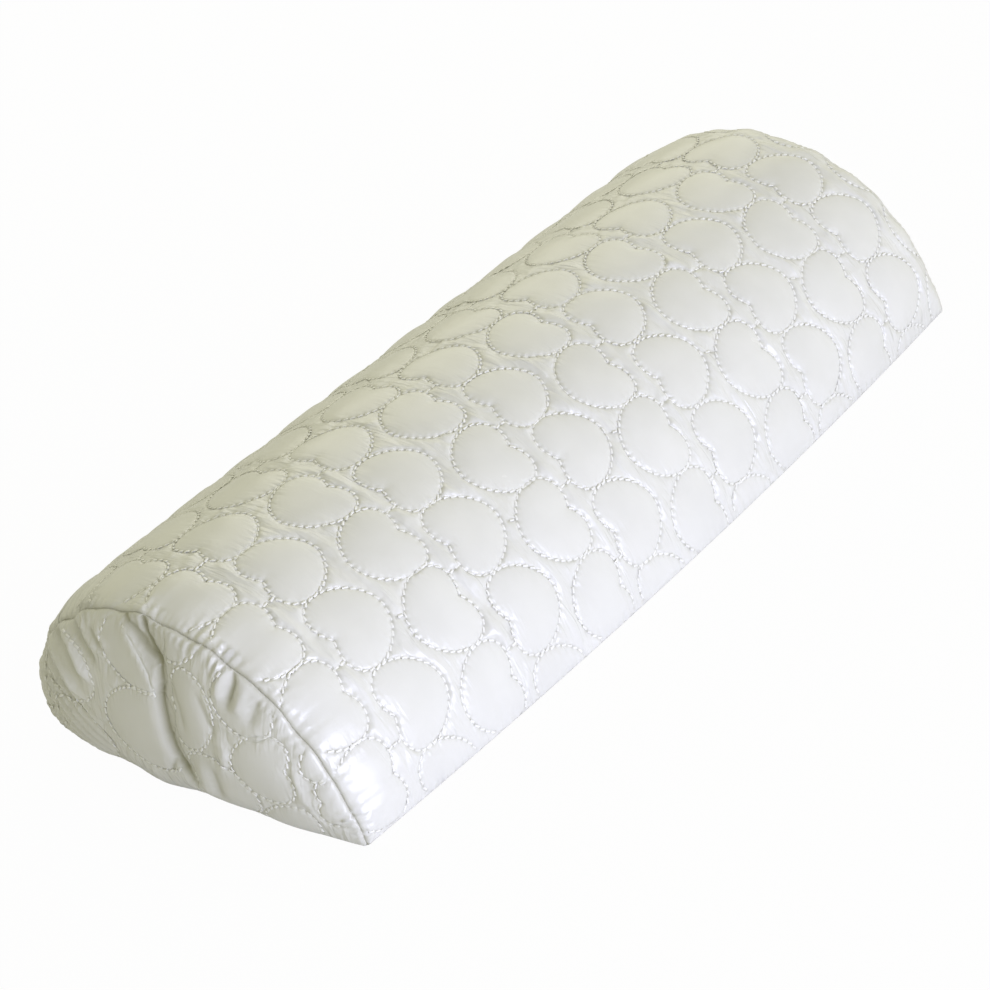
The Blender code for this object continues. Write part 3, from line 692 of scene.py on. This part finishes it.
def sew(name, paths, place, inside, seed, mirrored=False):
    """Thread of one panel: a stitch between each pair of needle holes, as one plain mesh."""
    middles, runs, outs = [], [], []
    rng = np.random.default_rng(seed)
    for path in paths:
        start, end, middle = path[:-1:4], path[4::4], path[2::4]
        kept = inside(middle)
        if not kept.any():
            continue
        start, end, middle = start[kept], end[kept], middle[kept]
        aside = np.stack([-(end - start)[:, 1], (end - start)[:, 0]], 1)
        here, there = place(start), place(end)
        beside = place(middle + aside * 0.4)
        centre = place(middle)
        run = there - here
        out = np.cross(run, beside - centre) * (-1 if mirrored else 1)
        out /= np.linalg.norm(out, axis=1)[:, None]
        slant = np.cross(out, run) * (stitch_slant + rng.normal(0, slant_spread, len(run)))[:, None]
        runs.append(run + slant)
        outs.append(out)
        middles.append(centre + out * thread_lift)
    middles, runs, outs = (np.concatenate(group) for group in (middles, runs, outs))
    host = bpy.data.meshes.new(name + "_points")
    host.from_pydata([tuple(m) for m in middles], [], [])
    for label, values in (("run", runs), ("out", outs)):
        attribute = host.attributes.new(label, "FLOAT_VECTOR", "POINT")
        attribute.data.foreach_set("vector", values.ravel().astype("f"))
    piece = new_object(name, host)
    modifier = piece.modifiers.new("stitches", "NODES")
    modifier.node_group = stitches
    sizes = {"Stitch length": stitch_pitch * stitch_cover, "Thread width": thread_width,
             "Loop height": loop_height, "Seed": seed}
    for item in stitches.interface.items_tree:
        if item.in_out == "INPUT" and item.name in sizes:
            modifier[item.identifier] = sizes[item.name]
    shown = piece.evaluated_get(bpy.context.evaluated_depsgraph_get())
    plain = bpy.data.meshes.new_from_object(shown)
    piece.modifiers.clear()
    piece.data = plain
    bpy.data.meshes.remove(host)
    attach(piece, "root")


def top_stitch_place(flat):
    """Where thread lies on the top panel: on the stitch line, above the needle holes."""
    end = top_half_along - np.abs(flat[:, 0])
    return wrap_top(flat, wadding_lift(flat) - groove_depth - seam_sink * seam_roll_share(end))


def inside_top(flat):
    return edge_distance(flat, top_outline) > 1.8 * MM


sew("top_thread", top_paths, top_stitch_place, inside_top, 21)


# End panels: D-shaped quilted pieces that close the cushion and belly out over the foam.
# The near one was cut too full, so it hangs in one long crease with drag folds beside it.
end_bulge = 13.5 * MM
seam_gap = 0.3 * MM
bulge_at_base = 0.30
end_tuck = 9 * MM
end_gathers = {-1: 1.35, 1: 0.5}
end_gather_reach = 4.6 * MM
hem_reach = 7 * MM            # how high the ripple of the base seam is felt
end_pattern_start = (6 * MM, 24 * MM)
end_half_angle = math.acos((base_seam_height - arch_centre_z) / arch_radius)


def end_outline_points(pitch):
    """D outline of an end, anticlockwise: along the base seam, then back over the arch."""
    half = arch_radius * math.sin(end_half_angle)
    steps = round(2 * half / pitch)
    base = [(half * (2 * i / steps - 1), base_seam_height) for i in range(steps)]
    steps = round(2 * arch_radius * end_half_angle / pitch)
    arch = []
    for i in range(steps):
        angle = end_half_angle * (1 - 2 * i / steps)
        arch.append((arch_radius * math.sin(angle), arch_centre_z + arch_radius * math.cos(angle)))
    return base + arch


def end_dome(flat):
    """How far the panel bellies out beyond its arched seam."""
    inside = 1 - (flat[:, 0] ** 2 + (flat[:, 1] - arch_centre_z) ** 2) / arch_radius ** 2
    tucked = 1 - np.exp(-flat[:, 1] / end_tuck)
    dome = end_bulge * np.clip(inside, 0, None) ** 0.7 * (bulge_at_base + (1 - bulge_at_base) * tucked)
    wave = 1.5 * np.sin(flat[:, 0] / (9 * MM) + 0.7) * np.exp(-(flat[:, 0] / (26 * MM)) ** 2)
    wave += 0.4 * np.sin(flat[:, 0] / (3.9 * MM))
    return dome + wave * MM * np.clip(inside, 0, 1) * np.exp(-flat[:, 1] / hem_reach)


end_outline = end_outline_points(0.7 * MM)
end_satin = satin_cloth("ivory satin of the ends", satin_colour, 0.0)


def make_end(name, node, side, seed, hearts, folds, lines=()):
    """One end panel and its thread."""
    paths = sew_hearts(hearts) + [stitch_path(np.array(line) * MM) for line in lines]
    seams = Seams(paths, seed + 1)

    def place(flat, rise):
        depth = arch_radius - np.hypot(flat[:, 0], flat[:, 1] - arch_centre_z)
        over = seam_roll_share(depth)
        under = seam_roll_share(flat[:, 1] - base_seam_height)
        shrink = 1 - seam_sink * over / arch_radius
        y = flat[:, 0] * shrink
        z = arch_centre_z + (flat[:, 1] - arch_centre_z) * shrink
        roll = 0.7 * seam_sink * np.maximum(over, 0.4 * under)
        x = side * (seam_half_length + seam_gap + end_dome(flat) + rise - roll)
        return settle(np.stack([x, y, z], 1))

    def face(flat):
        rise, painted_shade, slackness = quilt_relief(flat, hearts, seams, seed + 2)
        radius = np.hypot(flat[:, 0], flat[:, 1] - arch_centre_z)
        angle = np.arctan2(flat[:, 0], flat[:, 1] - arch_centre_z)
        depth = arch_radius - radius
        edge = np.minimum(depth, flat[:, 1] - base_seam_height)
        rise *= 1 - np.exp(-edge / seam_ease)
        rise += end_gathers[side] * seam_gathers(angle * arch_radius, depth, 2.2 + side, end_gather_reach)
        # Folds bend the cloth; shade is painted in their creases and along the arched seam.
        for _, fold, painted_crease_shade in folds:
            rise += fold(flat) * (1 - np.exp(-edge / (1.6 * MM)))
            painted_shade = np.maximum(painted_shade, painted_crease_shade(flat))
        return place(flat, rise), np.maximum(painted_shade, 0.45 * np.exp(-(depth / seam_shade) ** 2)), slackness

    def lining(flat):
        centre = np.array([0.0, lining_depth])
        inner = centre + (flat - centre) * (1 - lining_depth / seam_height)
        position = place(inner, np.zeros(len(inner)))
        position[:, 0] -= side * (lining_depth + 0.3 * end_dome(inner))
        return position

    beside = [line for line, _, _ in folds if len(line)]
    beside = np.concatenate(beside) if beside else np.empty((0, 2))
    points = scatter(end_outline, seams, beside, 1.2 * MM, seam_rows)
    grid = np.array([(x, y) for x in np.arange(-0.9, 0.95, 0.1) * seam_half_width
                     for y in np.arange(0.1, 0.95, 0.14) * seam_height])
    grid = inside_points(grid, end_outline, 3 * MM)
    panel = closed_panel(name, end_outline, points, face, grid, lining, end_satin)
    if side < 0:
        panel.data.flip_normals()
    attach(panel, "root")
    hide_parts(node)

    def stitch_place(flat):
        rise = np.full(len(flat), -groove_depth)
        for _, fold, _ in folds:
            rise += fold(flat)
        return place(flat, rise)

    def in_sight(flat):
        clear = (edge_distance(flat, end_outline) > 2.2 * MM) & (flat[:, 1] > 3 * MM)
        for _, _, painted_crease_shade in folds:
            clear &= painted_crease_shade(flat) < 0.2
        return clear

    sew(name + "_thread", paths, stitch_place, in_sight, seed + 3, side < 0)


# Hearts of the near end as the drawn-in cloth leaves them: across, up, facing, turn, stretches.
near_end_hearts = [(along * MM, up * MM, facing, math.radians(turn), longer, wider)
                   for along, up, facing, turn, longer, wider in (
    (4.6, 47.8, 1, 4, 1.16, 0.86), (4.0, 24.3, 1, -2, 1.32, 1.05), (36, 33, -1, 6, 1.20, 0.90),
    (34, 10.5, -1, 0, 1.20, 0.86), (-16.5, 35, -1, 0, 0.70, 0.96), (-11.5, 58, -1, 0, 0.85, 0.82),
    (-34.5, 42, 1, 10, 0.93, 0.80), (-38.8, 22.5, 1, -5, 0.88, 0.84), (-22.5, 11, -1, 5, 1.10, 0.90),
    (-57.5, 29.5, -1, 5, 0.65, 0.70), (-61.5, 14.5, -1, 0, 0.72, 0.60), (-43.5, 1, 1, 0, 0.90, 0.84),
    (60, 20, 1, 0, 0.95, 0.85))]


def trace(flat, path):
    """Signed distance from a creased line (left side positive), and share of the way along it."""
    best = np.full(len(flat), 9.0)
    aside, share = np.zeros(len(flat)), np.zeros(len(flat))
    path = np.array(path) * MM
    runs = np.hypot(*np.diff(path, axis=0).T)
    travelled = travelled_along(path) / runs.sum()
    for (x0, y0), (x1, y1), run, t0, t1 in zip(path, path[1:], runs, travelled, travelled[1:]):
        dx, dy = (x1 - x0) / run, (y1 - y0) / run
        t = np.clip((flat[:, 0] - x0) * dx + (flat[:, 1] - y0) * dy, 0, run)
        ox, oy = flat[:, 0] - x0 - t * dx, flat[:, 1] - y0 - t * dy
        distance = np.hypot(ox, oy)
        nearer = distance < best
        best[nearer] = distance[nearer]
        aside[nearer] = (np.where(dx * oy - dy * ox < 0, -1.0, 1.0) * distance)[nearer]
        share[nearer] = (t0 + (t1 - t0) * t / run)[nearer]
    return aside, share


def beside_path(path, offsets):
    """Rows of points along a creased line, so that the cloth can bend sharply there."""
    path = np.array(path) * MM
    line = points_on(path, np.arange(0, travelled_along(path)[-1], 0.55 * MM))
    step = np.gradient(line, axis=0)
    normal = np.stack([-step[:, 1], step[:, 0]], 1) / np.hypot(*step.T)[:, None]
    return np.concatenate([line + normal * offset * MM for offset in offsets])


def strength(share, start, end):
    """How a fold fades in over its first share of the way, and out over its last."""
    return np.clip(share / start, 0, 1) * np.clip((1 - share) / end, 0, 1)


def lap(path, high, low, wide, start, end):
    """A crease: cloth swells on its left, dives into it steeply, and comes back slowly, with shade painted in
    it.
    """
    def fold(flat):
        aside, share = trace(flat, path)
        swell = high * np.exp(-((aside - 0.9 * wide) / (0.6 * wide)) ** 2)
        left, right = np.clip(aside, 0, None), np.clip(-aside, 0, None)
        return strength(share, start, end) * (swell - low * np.exp(-left / (0.15 * wide) - right / wide))

    # Shade painted into the crease line, and more faintly over a band on its right.
    def painted_crease_shade(flat):
        aside, share = trace(flat, path)
        crease_line_shade = 0.9 * np.exp(-(aside / (0.9 * MM)) ** 2)
        shaded = 0.38 * np.exp(aside / (6.5 * MM)) * (aside < 0)
        return strength(share, start, end) * np.maximum(crease_line_shade, shaded)

    return beside_path(path, (0, 0.35, -0.35, 0.8, -0.8, 1.6, -1.6, -2.6)), fold, painted_crease_shade


def ridge(path, height, wide, fade=0.25):
    """A soft fold along a line: raised, or sunk where the height is negative."""
    def fold(flat):
        aside, share = trace(flat, path)
        return height * strength(share, fade, fade) * np.exp(-(aside / wide) ** 2)

    def painted_crease_shade(flat):
        # Shade painted along a sunk fold; raised folds get none.
        aside, share = trace(flat, path)
        shade = 0.45 if height < 0 else 0.0
        return shade * strength(share, fade, fade) * np.exp(-(aside / (0.6 * wide)) ** 2)

    return beside_path(path, (0, 0.8, -0.8)), fold, painted_crease_shade


def drag_pleats(flat):
    """Fine parallel pleats that run down from the far side of the seam."""
    lean = math.radians(29)
    across = flat[:, 1] * math.cos(lean) - flat[:, 0] * math.sin(lean)
    mask = 1 / (1 + np.exp(-(flat[:, 0] - 24 * MM) / (4 * MM))) / (1 + np.exp((across - 6 * MM) / (5 * MM)))
    wander = 1.6 * np.sin(flat[:, 0] / (11 * MM)) + 0.9 * np.sin(across / (5 * MM))
    return 0.80 * MM * mask * np.sin(2 * math.pi * across / (4.2 * MM) + wander)


near_end_folds = [
    lap([(2.2, 57.2), (0.8, 52.5), (-2.6, 48.5), (-5.2, 45.5), (-6.0, 41), (-5.2, 36.5), (-6.2, 30),
         (-6.6, 24), (-7.6, 20), (-8.6, 16), (-10.4, 12), (-12, 7)],
        0.1 * MM, 2.6 * MM, 5.6 * MM, 0.02, 0.14),
    lap([(9.3, 56.8), (4, 53), (0, 49.5), (-3.5, 47), (-6.5, 45)], 0.3 * MM, 1.5 * MM, 3.2 * MM, 0.05, 0.2)]
near_end_folds += [ridge(path, height * MM, wide * MM) for path, height, wide in (
    ([(5.5, 55), (0.5, 50), (-2.8, 45.5), (-4.4, 41)], -1.3, 2.2),
    ([(-8, 19), (-6, 15), (-3, 11)], -0.9, 1.0),
    ([(41, 46), (32, 41.5), (22, 32)], 2.4, 1.7),
    ([(35, 49), (27, 43), (19, 38)], -2.1, 1.2),
    ([(44, 42), (36, 38), (27, 29)], -1.3, 1.4),
    ([(48, 38), (40, 34), (29, 24)], 1.5, 1.4),
    ([(51, 33), (43, 29), (33, 20)], -1.1, 1.2),
    ([(30, 50), (22, 44.5), (13, 42)], 0.9, 1.2),
    ([(21, 50.5), (14, 44.5)], 0.8, 1.1),
    ([(24, 49), (17, 44)], -0.7, 0.9),
    ([(-31, 51.5), (-31.2, 45.5), (-29.5, 38.5)], -2.3, 1.15),
    ([(-27, 50), (-27.3, 45), (-26.5, 41)], 0.9, 1.8),
    ([(-36, 46), (-34, 41), (-32.5, 38)], 0.9, 1.9),
    ([(-39.5, 43), (-38.5, 40), (-36.5, 35)], -0.9, 1.5),
    ([(-19, 43), (-22.5, 36), (-25, 29)], -0.6, 1.0),
    ([(-17.5, 21), (-17, 14), (-16, 6)], 0.6, 2.0),
    ([(-21.5, 20), (-22, 13), (-21, 6)], -0.8, 1.6),
    ([(-26, 32), (-27, 25), (-25, 17)], 0.8, 1.6),
    ([(-8.5, 44), (-13, 36), (-14.5, 27)], -0.5, 1.4),
    ([(-48.5, 26), (-49.5, 20), (-50.5, 12)], 0.7, 1.3))]
near_end_folds.append((np.empty((0, 2)), drag_pleats, lambda flat: np.zeros(len(flat))))
# The near end's second crease has stitches beside it, where a heart's outline is drawn in.
near_end_line = [(10.4, 55.2), (6.0, 52.0), (2.6, 49.0), (-0.2, 46), (-2.4, 43), (-3.4, 39.5), (-3.6, 36)]
make_end("near_end_cover", "near_end_panel", -1, 31, near_end_hearts, near_end_folds, [near_end_line])
far_end_hearts = lay_hearts(end_pattern_start, seam_half_width, 0.0, seam_height, 41)
far_end_folds = [ridge(path, height * MM, wide * MM) for path, height, wide in (
    ([(20, 52), (14.5, 35.5)], -1.0, 1.5),
    ([(16, 52), (10, 38)], 0.7, 2.0),
    ([(-23.5, 50), (-18.3, 34.5)], -1.0, 1.5))]
make_end("far_end_cover", "far_end_panel", 1, 41, far_end_hearts, far_end_folds)


# Base panel: plain ivory lining cloth under the cushion, sewn to the top and the ends.
# Its edge turns up to the seam, so a narrow line of it shows above the table.
base_colour = (0.79, 0.785, 0.745, 1.0)
base_rows = [(0.9 * MM, base_seam_height - 0.2 * MM), (0.35 * MM, 0.5 * MM),
             (0.9 * MM, 0.05 * MM), (2.2 * MM, 0.0)]
end_steps = 30
side_steps = 60
inner_share = 0.97


def base_ring(inset, height):
    """One ring of the panel's turned edge, at an inset from the seams."""
    half_length, half_width = seam_half_length - inset, seam_half_width - inset
    ring = []
    for side in (-1, 1):
        for i in range(end_steps):
            y = side * half_width * (1 - 2 * i / end_steps)
            dome = end_dome(np.array([[y, base_seam_height]]))[0]
            ring.append((side * (seam_half_length + dome - inset), y, height))
        for i in range(side_steps):
            ring.append((side * half_length * (1 - 2 * i / side_steps), -side * half_width, height))
    return settle(np.array(ring))


base_cloth = new_material("base lining cloth", base_colour, 0.55)[0]
rings = [base_ring(inset, height) for inset, height in base_rows]
count = len(rings[0])
top_ring = rings[0].copy()
top_ring[:, 2] = lining_depth
top_ring[:, :2] *= inner_share
rings = [top_ring] + rings
corners = np.concatenate(rings)
faces = [tuple(range(count))]
for ring in range(len(rings) - 1):
    for i in range(count):
        j = (i + 1) % count
        faces.append((ring * count + i, (ring + 1) * count + i, (ring + 1) * count + j, ring * count + j))
faces.append(tuple(reversed(range((len(rings) - 1) * count, len(rings) * count))))
base_mesh = bpy.data.meshes.new("base_cover")
base_mesh.from_pydata([tuple(c) for c in corners], [], faces)
base_mesh.materials.append(base_cloth)
base_cover = new_object("base_cover", base_mesh)
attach(base_cover, "root")
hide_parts("base_panel")


# Table and backdrop: one white sheet. To the camera it is nearly plain white, and it
# keeps a soft trace of the cushion's shadow.
table_reach = 4
table_drop = 0.2 * MM
plain_white = 0.97           # how much of the table is plain white to the camera

white_table, tree, shader = new_material("white table", (0.85, 0.85, 0.84, 1.0), 0.9)
glow = add_node(tree, "ShaderNodeEmission", {"Strength": 1.0})
mixed = add_node(tree, "ShaderNodeMixShader")
rays = add_node(tree, "ShaderNodeLightPath")
share = add_node(tree, "ShaderNodeMath", {1: plain_white}, operation="MULTIPLY")
join(rays, "Is Camera Ray", share, 0)
join(share, "Value", mixed, "Fac")
join(shader, "BSDF", mixed, 1)
join(glow, "Emission", mixed, 2)
join(mixed, "Shader", tree.nodes["Material Output"], "Surface")
table_mesh = bpy.data.meshes.new("table")
table_corners = [(x * table_reach, y * table_reach, -table_drop)
                 for x, y in ((-1, -1), (1, -1), (1, 1), (-1, 1))]
table_mesh.from_pydata(table_corners, [], [(0, 1, 2, 3)])
table_mesh.materials.append(white_table)
new_object("table", table_mesh)


# Light: a broad cool softbox on the right, a weak warm one behind, and a warm fill from
# the room that is brighter towards the far end and the table.
fill_colour = (1.0, 0.990, 0.755, 1.0)
fill_level = 0.685
fill_slope = 0.29
bright_side = (0.70, 0.0, -0.75)

world = bpy.data.worlds.new("studio")
bpy.context.scene.world = world
world.use_nodes = True
tree = world.node_tree
fill = tree.nodes["Background"]
fill.inputs["Color"].default_value = fill_colour
seen = add_node(tree, "ShaderNodeBackground", {"Color": (1.0, 1.0, 1.0, 1.0), "Strength": 1.0})
rays = add_node(tree, "ShaderNodeLightPath")
chosen = add_node(tree, "ShaderNodeMixShader")
heading = add_node(tree, "ShaderNodeTexCoord")
towards_bright = add_node(tree, "ShaderNodeVectorMath", {1: bright_side}, operation="DOT_PRODUCT")
brightness = add_node(tree, "ShaderNodeMath", {1: fill_slope, 2: fill_level}, operation="MULTIPLY_ADD")
join(heading, "Generated", towards_bright, 0)
join(towards_bright, "Value", brightness, 0)
join(brightness, "Value", fill, "Strength")
join(rays, "Is Camera Ray", chosen, "Fac")
join(fill, "Background", chosen, 1)
join(seen, "Background", chosen, 2)
join(chosen, "Shader", tree.nodes["World Output"], "Surface")


def softbox(name, place, size, power, colour):
    """An area lamp that faces the cushion."""
    lamp = bpy.data.lights.new(name, "AREA")
    lamp.shape = "SQUARE"
    lamp.size = size
    lamp.energy = power
    lamp.color = colour
    holder = new_object(name, lamp)
    holder.location = place
    holder.rotation_euler = Vector(place).to_track_quat("Z", "Y").to_euler()


softbox("key softbox", (-0.2, -0.97, 0.2), 0.55, 8.8, (0.675, 0.70, 0.98))
softbox("rim softbox", (0.44, 0.40, 0.36), 0.5, 0.65, (1.0, 0.98, 0.92))


# Camera: where the photograph was taken from, a little turned about its own axis.
view_azimuth = math.radians(-45.18)
view_height = math.radians(32.76)
view_distance = 0.841
view_roll = math.radians(-12.0)
view_shift = (-0.0255, 0.0067)
lens = 96.5
sensor_width = 36
back = Vector((math.sin(view_azimuth) * math.cos(view_height),
               -math.cos(view_azimuth) * math.cos(view_height), math.sin(view_height)))
level = Vector((math.cos(view_azimuth), math.sin(view_azimuth), 0))
upright = back.cross(level)
right = level * math.cos(view_roll) + upright * math.sin(view_roll)
up = upright * math.cos(view_roll) - level * math.sin(view_roll)
camera_data = bpy.data.cameras.new("camera")
camera_data.lens = lens
camera_data.sensor_width = sensor_width
camera_data.shift_x, camera_data.shift_y = view_shift
camera_data.clip_start = 0.01
camera = new_object("camera", camera_data)
turned = Matrix((right, up, back)).transposed().to_4x4()
camera.matrix_world = Matrix.Translation(back * view_distance) @ turned
bpy.context.scene.camera = camera
bpy.context.scene.view_settings.view_transform = "Standard"
